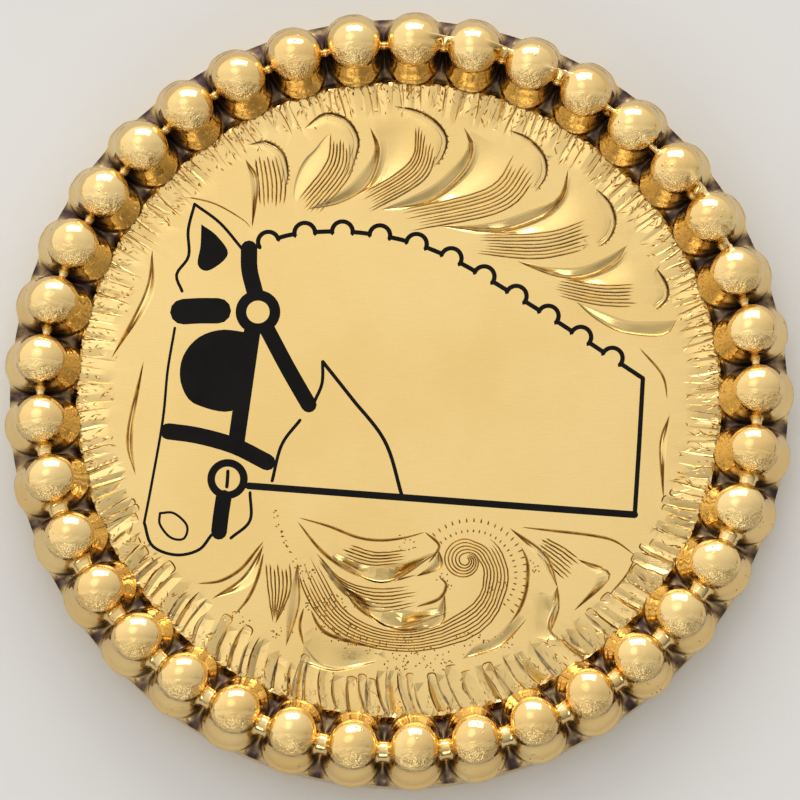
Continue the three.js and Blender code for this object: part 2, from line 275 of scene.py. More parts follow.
# Each leaf of the upper scroll: the cut round its lobe, the first and the last of its parallel
# cuts, how many there are, and the edge and the back of the bright cut on its far side.
UPPER_LEAVES = [
    dict(
        hook=[(-48.6, 82.2), (-42.7, 83), (-37.7, 79.5), (-36, 73), (-36.7, 68)],
        first=[(-46.4, 78.5), (-45.3, 70), (-44.6, 61.3)],
        last=[(-38.6, 78.5), (-36.6, 70), (-37.2, 61.3)],
        lines=7,
    ),
    dict(
        hook=[(-30.5, 87.6), (-23.9, 92.4), (-17, 90.4), (-13.3, 84), (-14.5, 77), (-16.5, 72)],
        first=[(-21.9, 86), (-23.5, 76), (-33.3, 62.9)],
        last=[(-14.8, 82), (-16, 72), (-27, 58.2)],
        lines=8,
        edge=[(-9.3, 87.9), (-6.4, 80.5), (-9.5, 69.5), (-18.5, 63.3), (-29.2, 61)],
        back=[(-9.3, 87.9), (-8.2, 79.5), (-14, 71), (-19.5, 66.2), (-29.2, 61)],
    ),
    dict(
        hook=[(-1.5, 94.9), (5, 93.6), (11.5, 90), (15.2, 84.4), (14, 78.6), (11.2, 75)],
        first=[(5.6, 90), (3.4, 76.5), (-12.7, 65.4)],
        last=[(12.3, 80.6), (7.8, 70.4), (-9.4, 60)],
        lines=8,
        edge=[(21, 87.9), (23.9, 81.9), (20.8, 73.3), (9.8, 63.8), (-5.8, 60.8)],
        back=[(21, 87.9), (21.8, 80.4), (12.8, 70.4), (4.8, 65.6), (-5.8, 60.8)],
    ),
    dict(
        hook=[(35.5, 87), (41.5, 84.3), (46.6, 78.5), (47.2, 72.2), (44, 66.8)],
        first=[(37.2, 79), (28.5, 67.8), (0.5, 60.5)],
        last=[(45, 72.4), (33.4, 60.5), (3.5, 53.8)],
        lines=8,
        edge=[(54.5, 74), (53, 65.4), (45.8, 58.4), (31.7, 53.9), (13, 55.4)],
        back=[(54.5, 74), (51, 64.6), (42, 60.6), (29, 56.4), (13, 55.4)],
    ),
    dict(
        hook=[(63.6, 67.6), (67.8, 62.8), (69.4, 57), (67.6, 51.6), (64, 48.6)],
        first=[(62, 58.1), (48, 53.4), (26.1, 52.4)],
        last=[(61.4, 48.2), (45, 44.8), (24.7, 46.4)],
        lines=8,
        edge=[(73.2, 49), (69.2, 43.2), (59.8, 38.8), (50.5, 39), (38, 43.8)],
        back=[(73.2, 49), (66.5, 45.2), (58.5, 42), (49.5, 41.8), (38, 43.8)],
    ),
    dict(
        hook=[(82.6, 41.6), (85.8, 36), (85.6, 31.4), (82, 28)],
        first=[(77, 36.4), (65, 36), (51.4, 38.2)],
        last=[(76.5, 28.9), (64, 29.6), (49.5, 33)],
        lines=7,
        edge=[(88.9, 24.5), (84.8, 19.6), (72.3, 20.4), (64, 24.4), (56.8, 30.6)],
        back=[(88.9, 24.5), (83.4, 24.2), (73.6, 24.4), (65.4, 27.2), (56.8, 30.6)],
    ),
]

# Bright cuts away from the fan, each as its edge and its back.
FACETS = [
    ([(-49.5, 77.4), (-45.6, 70.1), (-47.3, 54.9)], [(-49.5, 77.4), (-47.6, 67.5), (-47.3, 54.9)]),
    ([(-79.2, 47.6), (-81.4, 33.6), (-92, 12.1)], [(-79.2, 47.6), (-79.2, 31.6), (-92, 12.1)]),
    ([(-81.7, 11.1), (-86.7, -13), (-83.9, -26)], [(-81.7, 11.1), (-84.4, -12), (-83.9, -26)]),
    ([(86.4, -6.3), (83.3, -15.9), (84.2, -33)], [(86.4, -6.3), (85.2, -18), (84.2, -33)]),
    (
        [(-43, -48.3), (-49.4, -58.4), (-59.2, -65.4)],
        [(-43, -48.3), (-46.6, -60.6), (-59.2, -65.4)],
    ),
    ([(-32.3, -54), (-31.7, -67.3), (-35.8, -80.6)], [(-32.3, -54), (-35.4, -68), (-35.8, -80.6)]),
    ([(50.2, -61.3), (50.6, -68.6), (48, -75.9)], [(50.2, -61.3), (47.4, -68.6), (48, -75.9)]),
    ([(35.2, -42.8), (46.8, -51.6), (50.4, -62)], [(35.2, -42.8), (43.8, -52.4), (50.4, -62)]),
    ([(56.7, -52.7), (67, -58), (55.5, -69.2)], [(56.7, -52.7), (62.4, -59.5), (55.5, -69.2)]),
    ([(5.5, -58.2), (13.4, -55.2), (12.4, -49.4)], [(5.5, -58.2), (10.6, -54), (12.4, -49.4)]),
    ([(2.7, -75.4), (13.4, -73.6), (14.6, -64)], [(2.7, -75.4), (10.4, -70.6), (14.6, -64)]),
    ([(-31, -86), (-20, -88.6), (-7, -85.6)], [(-28.6, -69.6), (-20.6, -77.6), (-7, -81.4)]),
    ([(20, -84.6), (32, -80.6), (40.5, -72)], [(24, -80.4), (31, -77), (38, -69)]),
    ([(50.8, -79), (47.6, -74), (50.6, -66.5)], [(41.5, -77.6), (42.6, -70), (42.4, -61)]),
]

# The two deepest ones, with waves in them that catch the light and the dark in turn.
WAVED_FACETS = [
    ([(-22, -52.6), (-5, -60.3), (12.3, -50.6)], [(-20, -50.6), (-5, -54.6), (12, -50.4)]),
    ([(-17.7, -61.6), (-3, -74.6), (15.8, -69.8)], [(-17.4, -61.4), (-1.5, -68.6), (15.4, -68)]),
]

STEM_EDGE = [(-28, -68.9), (-25.2, -74.3), (-20.5, -77.5), (-5.2, -81.6)]
# Single cuts, each with its width as a share of a hook's.
SINGLE_CUTS = [
    ([(-72, 65.6), (-60, 63), (-50.4, 57.6), (-47.4, 54.4)], 0.4),
    ([(77, 15.5), (84.2, 6.7), (85.8, -1.3)], 0.6),
    ([(-63.9, -60.6), (-56.7, -59.7), (-50.2, -55.9), (-45.2, -49.8), (-43, -47)], 0.8),
    ([(-43, -50.8), (-44.8, -58.4), (-47.7, -65.1), (-52, -70.5)], 0.8),
    ([(-32, -39.4), (-22.3, -42.2), (-13.3, -45.7), (-6.1, -46.7), (1.1, -46), (8.3, -44.1)], 0.7),
    ([(8.3, -44.1), (12.4, -47.6), (12.3, -50), (9.4, -54)], 0.7),
    (
        [(-32.3, -40.6), (-25.2, -49.5), (-18, -55.2), (-10.8, -58.4), (-3.3, -59.7), (5.5, -57.8)],
        0.9,
    ),
    ([(12.7, -58.4), (15, -61), (12.7, -65.4), (5.5, -68)], 0.8),
    (STEM_EDGE, 1.0),
    ([(-30.2, -68.3), (-31.4, -74), (-30.2, -80.3)], 0.7),
    ([(-30.2, -80.3), (-25, -86), (-17.5, -88.2)], 0.6),
    ([(38.9, -42.5), (47.7, -43.5), (61.1, -45.1), (68.7, -47), (75.2, -51.7)], 0.7),
    ([(75.2, -51.7), (72, -58), (66, -65)], 0.5),
    ([(38.9, -48.9), (40.8, -54), (40.5, -61.9), (38.3, -68.6), (34.8, -74.3)], 0.9),
    ([(-17.7, -61.6), (-13.3, -67.9), (-6.1, -72.7), (0.2, -75.2), (9.8, -74.9)], 0.9),
]
# A row of dots down from the muzzle.
DOTTED = [(-39.8, -37.8), (-36.4, -46), (-32.3, -54.6)]

# Runs of parallel cuts: the first, the last and how many.
LINER_RUNS = [
    ([(-42.3, -54), (-41.4, -63), (-39.8, -73.3)], [(-34.8, -54), (-34.6, -63), (-39, -73.3)], 7),
    ([(-17, -47.6), (-7.5, -50.6), (3.2, -49.8)], [(-19.5, -51.4), (-9, -54.6), (1.7, -53.8)], 5),
    (
        [(-26.7, -49.8), (-18.5, -59), (-7, -62.3), (6.7, -61)],
        [(-24.5, -55.5), (-16.5, -64.6), (-6.5, -69.4), (5.5, -67.6)],
        7,
    ),
    ([(45.5, -45.5), (52, -49), (58, -53.4)], [(43.6, -50.6), (48, -55), (53.4, -60)], 7),
]

# The lower scroll's stem sweeps round into a spiral: its lowest and its highest line, and then
# for each turn of the spiral in degrees, how far its outer and its inner line are from the middle.
STEM_OUTER = [(-32.5, -55), (-30.2, -62.6), (-25.8, -70.5), (-18.3, -77.5), (-8.3, -81)]
STEM_OUTER += [(3.6, -82.2), (13, -81)]
STEM_INNER = [(-27.6, -51.5), (-23, -60), (-18.9, -67.3), (-12.7, -72.4), (-4.2, -75.6)]
STEM_INNER += [(5.2, -75.9), (13.9, -73.3)]
STEM_LINES = 8
TAIL_LINES = 5  # how many run on to the spiral's middle
SPIRAL_MIDDLE = (21.1, -53)
SPIRAL = [(-90, 25.6, 16), (-45, 17, 8.2), (0, 12.4, 4.2), (60, 9.2, 2.8)]
SPIRAL_TAIL = [(90, 6.8, 2.2), (180, 6.6, 2.0), (270, 5.4, 1.7), (360, 4.0, 1.2), (430, 2.6, 0.7)]
TICK_RING = (23, -57.8)
TICK_RADIUS = 16.8

# Stippled ground: places with the reach of each, and how many marks.
STIPPLES = [
    ((-12, -82.5), 6, 24),
    ((-22, -76), 5, 18),
    ((0, -85), 7, 30),
    ((12, -84.5), 6, 26),
    ((23, -80), 6, 22),
    ((33, -79), 5, 16),
    ((-37, -76), 4, 16),
    ((-39, -68), 3, 12),
    ((43, -55), 3, 10),
    ((-17.5, -66), 5, 16),
    ((-52, -73), 5, 14),
    ((2, -47.5), 4, 10),
    ((15, -60), 4, 10),
    ((-24, -67), 6, 46),
    ((-30, -57), 4, 22),
    ((-15, -77), 5, 30),
    ((2, -80), 6, 26),
    ((31, -62), 4, 18),
]


# The inlaid picture: the outline and the harness of a horse's head
ROSETTE = ((-45.2, 27.2), 1.08, 0.56)
BIT = ((-54.6, -27), 0.97, 0.6)
CREST = [(-46.5, 48.4), (-33, 52.8), (-11, 53), (13, 46.6), (44, 28.4), (78, 5.6)]
THIN_LINES = [
    ([(-69.6, 34), (-71.4, 39.5), (-67.6, 45.5), (-67.8, 54), (-65.8, 62.6)], 0.15),
    ([(-65.8, 62.6), (-57.6, 56.4), (-50.5, 48)], 0.15),
    ([(-71.8, 22), (-74, 8), (-75.4, -8), (-79, -30), (-81, -41)], 0.13),
    ([(-81, -41), (-78.4, -48.4), (-71, -51.4), (-63.6, -49.8), (-59.6, -45)], 0.15),
    ([(-47.4, -31.4), (-47.4, -40.4), (-53.4, -46)], 0.15),
    ([(-40.4, -27.6), (-37.4, -16), (-31.6, -8)], 0.16),
    ([(-27, -2), (-24.6, 4), (-24.4, 11)], 0.16),
    ([(-24.4, 11), (-15, -1), (-4.4, -15), (1, -32.6)], 0.18),
    ([(78, 5.6), (76.6, -16), (75, -38.4)], 0.22),
]
NOSTRIL = [(-76, -38), (-71.6, -38), (-67.4, -42), (-68.4, -46.2), (-72.6, -45.8), (-76, -41.6)]
REIN_LINE = [(-48, -29.2), (-10, -32.1), (35, -35.5), (75, -38.5)]
STRAPS = [
    ([(-48.2, 48), (-48, 41), (-46.2, 33.6)], 0.8),
    ([(-69.2, 27.3), (-64, 27.6), (-58, 27.6)], 1.26),
    ([(-47, 21), (-49.3, 4), (-51.8, -14.5)], 0.8),
    ([(-42.2, 21.5), (-35.4, 8.6), (-28.8, -3)], 0.76),
    ([(-73.6, -11.6), (-64, -13), (-52.5, -16.3), (-42, -21.6)], 0.8),
    ([(-55.8, -33), (-56.6, -38.6), (-57.2, -44)], 0.76),
    ([(-54.5, -24.5), (-54.6, -27), (-54.8, -29.5)], 0.17),
]
BLINKER = [(-47.6, 20.4), (-57, 21.4), (-64.6, 18.6), (-69.4, 12), (-69.6, 3.6), (-64.6, -3)]
BLINKER += [(-51, -3.4)]
EAR_HOLLOW = [(-63.6, 56), (-58.4, 52), (-55, 46), (-61, 40.8), (-64.6, 42.6), (-63.8, 49)]


def engrave_leaves(face):
    before = None
    for leaf in UPPER_LEAVES:
        hook = on_face(leaf["hook"], PATH_POINTS)
        strength = swell(PATH_POINTS, 0.3, 0.4)
        bevel = [p - n * 0.6 * w for p, n, w in zip(hook, sides(hook), strength)]
        face.scoop(hook, bevel, LOBE_DEPTH, strength)
        face.cut(hook, HOOK_WIDTH, HOOK_DEPTH, 0.3, 0.4, 0.3, 1.0)
        for p, n in list(zip(hook, sides(hook)))[4:17]:
            nick(face, p + n * 0.08, rng.uniform(0, math.pi), 0.2, 0.13)
        inside = [p - n * 0.2 for p, n in zip(hook, sides(hook))][8:]
        face.cut(inside, LINER_WIDTH * 0.8, LINER_DEPTH, 0.3, 0.4)
        first, last = on_face(leaf["first"], PATH_POINTS), on_face(leaf["last"], PATH_POINTS)
        rise = np.sin(math.pi * np.linspace(0, 1, PATH_POINTS)) ** 0.7
        if before is not None:
            face.scoop(between(before, first, 0.05), first, DISH_DEPTH, rise)
        elif "edge" in leaf:
            dish = [p - n * w for p, n, w in zip(first, sides(first), rise)]
            face.scoop(dish, first, DISH_DEPTH * 0.6, rise)
        for i in range(leaf["lines"]):
            share = i / (leaf["lines"] - 1)
            liner(face, between(first, last, share))
        before = None
        if "edge" in leaf:
            before = on_face(leaf["edge"], PATH_POINTS)
            face.facet(leaf["edge"], leaf["back"], FACET_DEPTH)
            echo = between(before, on_face(leaf["back"], PATH_POINTS), 0.3)
            face.cut(echo[3:13], 0.06, 0.03, 0.4, 0.4)


def liner(face, path):
    """One line of a shading run. It starts and stops a little out of step with its neighbours."""
    path = [p + noise.normal(0, 0.006, 2) for p in path]
    skip = rng.randint(0, 1)
    stop = len(path) - rng.randint(0, 1)
    width = LINER_WIDTH * rng.uniform(0.85, 1.15)
    depth = LINER_DEPTH * rng.uniform(0.8, 1.2)
    face.cut(path[skip:stop], width, depth, 0.08, 0.2, 0.4, rng.uniform(0.6, 1.0))


def engrave_scroll(face):
    for edge, back in FACETS:
        face.facet(edge, back, FACET_DEPTH * 0.8)
    for edge, back in WAVED_FACETS:
        face.facet(edge, back, FACET_DEPTH * 1.6, 0.6)
    for spot in on_face(DOTTED, 10):
        for _ in range(2):
            place = spot + np.array([rng.uniform(-0.12, 0.12), rng.uniform(-0.12, 0.12)])
            nick(face, place, rng.uniform(0, math.pi), 0.16, 0.1)
    for points, share in SINGLE_CUTS:
        face.cut(on_face(points, 5 * len(points)), HOOK_WIDTH * share, HOOK_DEPTH * share)
    for first, last, count in LINER_RUNS:
        ends = on_face(first, 14), on_face(last, 14)
        for i in range(count):
            liner(face, between(*ends, i / (count - 1)))
    outer, inner = on_face(STEM_OUTER, PATH_POINTS), on_face(STEM_INNER, PATH_POINTS)
    middle = at(*SPIRAL_MIDDLE)
    for i in range(STEM_LINES):
        share = i / (STEM_LINES - 1)
        late = i - STEM_LINES + TAIL_LINES
        rows = SPIRAL + (SPIRAL_TAIL if late >= 0 else [])
        turns = [row[0] for row in rows]
        reaches = []
        for row in rows:
            inward = late / (TAIL_LINES - 1) if row in SPIRAL_TAIL else share
            reaches.append(row[1] + (row[2] - row[1]) * inward)
        path = between(outer, inner, share)[rng.randint(0, 2) :]
        stop = turns[-1] - (rng.uniform(0, 30) if late < 0 else 0)
        for turn in np.arange(-90, stop, 11):
            out = np.interp(turn, turns, reaches) * FACE_RADIUS / 100
            path.append(middle + polar(out, math.radians(turn)))
        face.cut(path, LINER_WIDTH * 0.9, LINER_DEPTH, 0.05, 0.08, 0.4, rng.uniform(0.6, 0.9))
    ring = at(*TICK_RING)
    reach = TICK_RADIUS * FACE_RADIUS / 100
    for step in range(24):
        out = polar(1.0, math.radians(-42 + step * 7.6))
        for near, far in ((0.97, 1.1), (0.8, 0.88)):
            ends = [ring + out * reach * near, ring + out * reach * far]
            face.cut(spline(ends, 4), 0.09, 0.06, 0.4, 0.4)
    for spot in on_face(STEM_EDGE, 14):
        nick(face, spot + at(1.2, 1.6), math.radians(55 + 30 * rng.random()), 0.3)
    for place, spread, count in STIPPLES:
        for _ in range(count):
            turn, out = rng.uniform(0, TURN), spread * math.sqrt(rng.random())
            spot = at(place[0] + out * math.cos(turn), place[1] + 0.7 * out * math.sin(turn))
            nick(face, spot, rng.uniform(0, math.pi), 0.13, 0.08)


def bold(turn):
    """How strongly the border is cut: hardly at the top and the sides, boldest along the bottom."""
    return max(0.0, -math.sin(turn) - 0.15) ** 0.7


def engrave_border(face):
    """Radial strokes with a dark line at their side: close and fine, but wide and arched below."""
    turn = 0.0
    while turn < TURN:
        force = bold(turn)
        step = TOOTH_STEP * (1 + 0.6 * force) * rng.uniform(0.7, 1.3) / FACE_RADIUS
        inner = BORDER_INNER + rng.uniform(-0.25, 0.4) + 0.42 * (1 - force)
        inner += MUZZLE_KEEP * math.exp(-(((turn - MUZZLE_TURN) / 0.1) ** 2))
        slant = rng.uniform(-0.012, 0.016) + 0.038 * force
        left, right = [], []
        for share in np.linspace(0, 1, 6):
            reach = inner + (FACE_EDGE + 0.2 - inner) * share
            middle = turn + slant * share**1.6
            half = step * (0.4 + 0.1 * min(1, share * 3))
            left.append(polar(reach, middle + half))
            right.append(polar(reach, middle - half))
        leans = (0.1, 0.2, 0.35, 0.8, 0.9) if force < 0.4 else (0.12, 0.55, 0.82, 0.88, 0.9)
        lean = rng.choice(leans)
        depth = TOOTH_DEPTH * (0.36 + 1.2 * force) * rng.uniform(0.5, 1.4)
        face.groove(left, right, depth, [0.0, 0.7, 1, 1, 1.1, 1.1], lean, 0.1 * rng.random())
        edge = left if lean < 0.5 else right
        first = rng.choice((0, 1, 2, 3, 3) if force < 0.4 else (0, 0, 0, 1))
        line = spline(edge[first:], 7)
        width = rng.uniform(0.05, 0.09) + 0.03 * force
        face.cut(line, width, 0.06, 0.3, 0.1, 0.5, rng.uniform(0.3, 0.6) + 0.4 * force)
        if force > 0.3:
            wedge = spline(edge[rng.randint(0, 2) : rng.randint(4, 6)], 7)
            wide = rng.uniform(0.12, 0.42) * force
            face.cut(wedge, wide, 0.11, 0.5, 0.5, rng.choice((0.15, 0.85)), rng.uniform(0.5, 1.0))
            arch = [left[1], left[0], right[0], right[1]]
            if rng.random() < 0.6:
                arch = spline(arch, 14)[rng.randint(0, 5) : rng.randint(9, 14)]
                face.cut(arch, 0.08, 0.06, 0.3, 0.3, 0.5, rng.uniform(0.2, 0.9))
        turn += step
    for _ in range(FINE_MARKS):
        turn = rng.uniform(0, TURN)
        near = BORDER_INNER + 0.2 + 1.5 * rng.random() ** 0.7
        far = min(near + rng.uniform(0.15, 0.6), FACE_EDGE + 0.1)
        ends = [polar(near, turn), polar(far, turn + rng.uniform(-0.02, 0.025))]
        width, depth = rng.uniform(0.05, 0.15), rng.uniform(0.04, 0.08)
        face.cut(spline(ends, 3), width, depth, 0.3, 0.2, 0.3, rng.uniform(0.0, 0.7))
    for _ in range(EDGE_NICKS):
        turn = rng.uniform(0, TURN)
        spot = polar(FACE_EDGE - rng.uniform(0.05, 0.4), turn)
        nick(face, spot, turn + rng.uniform(-0.7, 0.7))


def nick(face, place, heading, length=0.2, width=0.09):
    along = polar(length / 2, heading)
    ends = [place - along, place + along]
    face.cut(spline(ends, 3), width, rng.uniform(0.04, 0.08), 0.5, 0.5, 0.4, rng.uniform(0.3, 1.0))


def lay_inlay(face):
    for line, width in THIN_LINES:
        face.band(on_face(line, 22), width, 4)
    face.band(on_face([*NOSTRIL, NOSTRIL[0]], 28), NOSTRIL_WIDTH, 4)
    face.band(on_face(REIN_LINE, 16), REIN, 4)
    for middle, outer, inner in (ROSETTE, BIT):
        face.ring(at(*middle), outer, inner)
    for points, width in STRAPS:
        face.band(on_face(points, 12), width, 6)
    for loop in (BLINKER, EAR_HOLLOW):
        face.shape(on_face([*loop, loop[0]], 40)[:-1])
    crest = on_face(CREST, 400)
    aside = sides(crest)
    length = 399 * np.linalg.norm(crest[1] - crest[0])
    reach = round(399 * BRAID_RADIUS / length)
    start = 0
    for i in range(BRAID_COUNT):
        spot = round(399 * (0.034 + 0.88 * i / (BRAID_COUNT - 1)))
        if spot - reach - start > 3:
            face.band(crest[start : spot - reach + 1 : 2], CREST_WIDTH)
        start = spot + reach
        up = aside[spot]
        along = np.array([up[1], -up[0]])
        arc = [
            crest[spot] + BRAID_RADIUS * (along * math.cos(t) + up * math.sin(t))
            for t in np.linspace(-0.2, math.pi + 0.2, 17)
        ]
        face.band(arc, CREST_WIDTH, 2)
    face.band(crest[start::2], CREST_WIDTH, 3)


def heights(verts, patches):
    """The height of each vertex, which is that of the lowest patch over it, and its grime."""
    z, dirt = np.zeros(len(verts)), np.zeros(len(verts))
    order = np.argsort(verts[:, 0])
    across = verts[order, 0]
    for a, b, c, grime_and_shade in patches:
        low = np.searchsorted(across, min(a[0], b[0], c[0]) - 1e-5)
        high = np.searchsorted(across, max(a[0], b[0], c[0]) + 1e-5)
        spots = order[low:high]
        if not len(spots):
            continue
        x, y = verts[spots, 0], verts[spots, 1]
        area = (b[0] - a[0]) * (c[1] - a[1]) - (c[0] - a[0]) * (b[1] - a[1])
        if abs(area) < 1e-10:
            continue
        v = ((x - a[0]) * (c[1] - a[1]) - (c[0] - a[0]) * (y - a[1])) / area
        w = ((b[0] - a[0]) * (y - a[1]) - (x - a[0]) * (b[1] - a[1])) / area
        slack = 2e-5 / math.sqrt(abs(area))
        inside = (v > -slack) & (w > -slack) & (v + w < 1 + slack)
        found = a[2] + v * (b[2] - a[2]) + w * (c[2] - a[2])
        chosen = spots[inside]
        z[chosen] = np.minimum(z[chosen], found[inside])
        black = grime_and_shade[0] + v * (grime_and_shade[1] - grime_and_shade[0]) + w * (grime_and_shade[2] - grime_and_shade[0])
        dirt[chosen] = np.maximum(dirt[chosen], black[inside])
    return z, dirt


def covered(spots, shapes):
    """Which of the spots lie inside a part of the inlay."""
    hit = np.zeros(len(spots), bool)
    for shape in shapes:
        if isinstance(shape, tuple):
            middle, outer, inner = shape
            away = np.linalg.norm(spots - middle, axis=1)
            hit |= (away < outer * 0.999) & (away > inner * 0.999)
            continue
        x, y = spots[:, 0], spots[:, 1]
        odd = np.zeros(len(spots), bool)
        winding = np.zeros(len(spots), int)
        ahead = np.roll(shape, -1, axis=0)
        for (x0, y0), (x1, y1) in zip(shape, ahead):
            if y0 == y1:
                continue
            crosses = (y0 <= y) != (y1 <= y)
            odd = crosses & (x < x0 + (y - y0) * (x1 - x0) / (y1 - y0))
            winding += np.where(odd, 1 if y1 > y0 else -1, 0)
        hit |= winding != 0
    return hit


def open_edges(triangles):
    """The edges that only one of the triangles has, each in that triangle's direction."""
    found = {}
    for tri in triangles:
        for a, b in ((tri[0], tri[1]), (tri[1], tri[2]), (tri[2], tri[0])):
            if (b, a) in found:
                del found[(b, a)]
            else:
                found[(a, b)] = True
    return list(found)


def zip_rings(faces, first, second, spots):
    """Triangles between two closed rings of vertices that run round the same axis."""

    def turn(v):
        return math.atan2(spots[v][1], spots[v][0])

    a, b = sorted(first, key=turn), sorted(second, key=turn)
    ta, tb = [turn(v) for v in a], [turn(v) for v in b]
    i = j = 0
    while i < len(a) or j < len(b):
        next_a = ta[(i + 1) % len(a)] + (TURN if i + 1 >= len(a) else 0)
        next_b = tb[(j + 1) % len(b)] + (TURN if j + 1 >= len(b) else 0)
        if j >= len(b) or (i < len(a) and next_a <= next_b):
            faces.append((a[i % len(a)], a[(i + 1) % len(a)], b[j % len(b)]))
            i += 1
        else:
            faces.append((a[i % len(a)], b[(j + 1) % len(b)], b[j % len(b)]))
            j += 1


def add_object(name, data):
    made = bpy.data.objects.new(name, data)
    bpy.context.scene.collection.objects.link(made)
    return made


def make_piece(name, spots, faces, marks, sharp_degrees=0):
    """A new object from places in millimetres, with the marks that its material reads."""
    mesh = bpy.data.meshes.new(name)
    mesh.from_pydata((np.array(spots) * MM).tolist(), [], faces)
    for mark, values in marks.items():
        layer = mesh.attributes.new(mark, "FLOAT", "POINT")
        layer.data.foreach_set("value", np.asarray(values, np.float32))
    if sharp_degrees:
        work = bmesh.new()
        work.from_mesh(mesh)
        bmesh.ops.dissolve_degenerate(work, dist=1e-7, edges=work.edges)
        bmesh.ops.recalc_face_normals(work, faces=work.faces)
        work.to_mesh(mesh)
        work.free()
    mesh.polygons.foreach_set("use_smooth", [True] * len(mesh.polygons))
    if sharp_degrees:
        mesh.set_sharp_from_angle(angle=math.radians(sharp_degrees))
    return add_object(name, mesh)


def make_plate():
    face = Face()
    rim = []
    for i in range(RIM_STEPS):
        turn = TURN * i / RIM_STEPS
        out = FACE_EDGE + 0.06 * math.sin(211 * turn) + rng.uniform(-0.07, 0.03)
        rim.append(polar(out, turn))
    face.line(rim, closed=True)
    engrave_leaves(face)
    engrave_scroll(face)
    engrave_border(face)
    lay_inlay(face)
    points = [Vector(p) for p in face.points]
    flat, _, triangles, _, _, _ = delaunay_2d_cdt(points, face.edges, [], 0, 1e-6, False)
    flat = np.array([tuple(p) for p in flat])
    triangles = np.array([t for t in triangles if len(t) == 3])
    triangles = triangles[covered(flat[triangles].mean(axis=1), [np.array(rim)])]
    inlaid = covered(flat[triangles].mean(axis=1), face.shapes)
    rises, dirt = heights(flat, face.patches)

    spots = [(x, y, FACE_Z + rise) for (x, y), rise in zip(flat, rises)]
    faces = [tuple(t) for t in triangles[~inlaid]]
    black_spots, black_faces = [], []
    pockets, tops, bottoms = {}, {}, {}

    def under(v, depth, known, into):
        """The vertex under one of the face's. It is made when it is first asked for."""
        if v not in known:
            known[v] = len(into)
            into.append((flat[v][0], flat[v][1], FACE_Z - depth))
        return known[v]

    def pocket(v):
        return under(v, INLAY_DEPTH, pockets, spots)

    def top(v):
        return under(v, INLAY_TOP, tops, black_spots)

    def bottom(v):
        return under(v, INLAY_DEPTH - INLAY_GAP, bottoms, black_spots)

    for tri in triangles[inlaid]:
        faces.append(tuple(pocket(v) for v in tri))
        black_faces.append(tuple(top(v) for v in tri))
        black_faces.append(tuple(bottom(v) for v in tri[::-1]))
    for a, b in open_edges(triangles[inlaid]):
        faces.append((a, b, pocket(b), pocket(a)))
        black_faces.append((top(b), top(a), bottom(a), bottom(b)))

    before = sorted({v for pair in open_edges(triangles) for v in pair})

    def add_ring(radius, height, count=296, ripple=0.0):
        """A closed ring of vertices, joined to the one before it."""
        nonlocal before
        now = list(range(len(spots), len(spots) + count))
        for i in range(count):
            out = radius + ripple * rng.uniform(-1, 1)
            spots.append((*polar(out, TURN * i / count), height))
        zip_rings(faces, before, now, spots)
        before = now

    # From the face's edge over the seat, down the side, and through the hollow to the boss
    foot = HOLLOW_RADIUS + HOLLOW_DRAFT
    for row in (
        (FACE_EDGE + 0.12, 2.1, 592, 0.03),
        (FACE_EDGE + 0.38, 1.84, 296, 0.03),
        (FACE_EDGE + 0.5, 1.5),
        (FACE_EDGE + 0.6, SEAT_Z),
        (SEAT_RADIUS - 0.06, SEAT_Z),
        (SEAT_RADIUS, SEAT_Z - 0.05),
        (SEAT_RADIUS, 0.14),
        (SEAT_RADIUS - 0.05, 0.04),
        (SEAT_RADIUS - 0.16, 0.0),
        (foot + 0.12, 0.0),
        (foot, 0.08),
        (HOLLOW_RADIUS + 0.12, HOLLOW_CEILING - 0.25),
        (HOLLOW_RADIUS - 0.04, HOLLOW_CEILING - 0.06),
        (HOLLOW_RADIUS - 0.25, HOLLOW_CEILING),
        (BOSS_RADIUS + 0.45, HOLLOW_CEILING, 96),
        (BOSS_RADIUS + 0.12, HOLLOW_CEILING - 0.1, 96),
        (BOSS_RADIUS, HOLLOW_CEILING - 0.4, 96),
        (BOSS_RADIUS, 0.12, 96),
        (BOSS_RADIUS - 0.12, 0.0, 96),
        (SOCKET_RADIUS + THREAD_DEPTH + 0.17, 0.0, 96),
    ):
        add_ring(*row)
    height = 0.12
    while height < SOCKET_TOP - 0.4:
        for out, share in ((THREAD_DEPTH, 0.0), (0.0, 0.35), (0.0, 0.5), (THREAD_DEPTH, 0.85)):
            add_ring(SOCKET_RADIUS + out, height + share * THREAD_PITCH, 64)
        height += THREAD_PITCH
    add_ring(SOCKET_RADIUS, SOCKET_TOP - 0.12, 64)
    add_ring(0.3, SOCKET_TOP, 64)
    faces.append(tuple(before))

    used = sorted({v for f in faces for v in f})
    number = {v: i for i, v in enumerate(used)}
    faces = [tuple(number[v] for v in f) for f in faces]
    dirt = [dirt[v] if v < len(flat) else 0.0 for v in used]
    places = np.array([spots[v] for v in used])
    x, y, z = places.T
    low = np.clip((FACE_Z - 0.08 - z) / 0.14, 0, 1)
    edge = (np.hypot(x, y) > FACE_EDGE - 0.1) * (z > SEAT_Z - 0.01)
    polish = np.clip((FACE_Z - 0.03 - z) / 0.06, 0, 1) * (z > FACE_Z - 0.6)
    # Patina in the cuts, and darker at the face's edge and on the seat below it.
    marks = {"patina_and_shade": np.maximum(dirt, edge * low), "polish": polish}
    plate = make_piece("engraved_plate_dressed", places, faces, marks, 7)
    return plate, make_piece("black_inlay", black_spots, black_faces, {}, 30)


def smooth_least(a, b, k):
    h = np.clip(0.5 + 0.5 * (b - a) / k, 0, 1)
    return b * (1 - h) + a * h - k * h * (1 - h)


def oval(across, along, reach, width):
    return np.abs(across / reach) ** BEAD_SQUARE + np.abs(along / width) ** BEAD_SQUARE


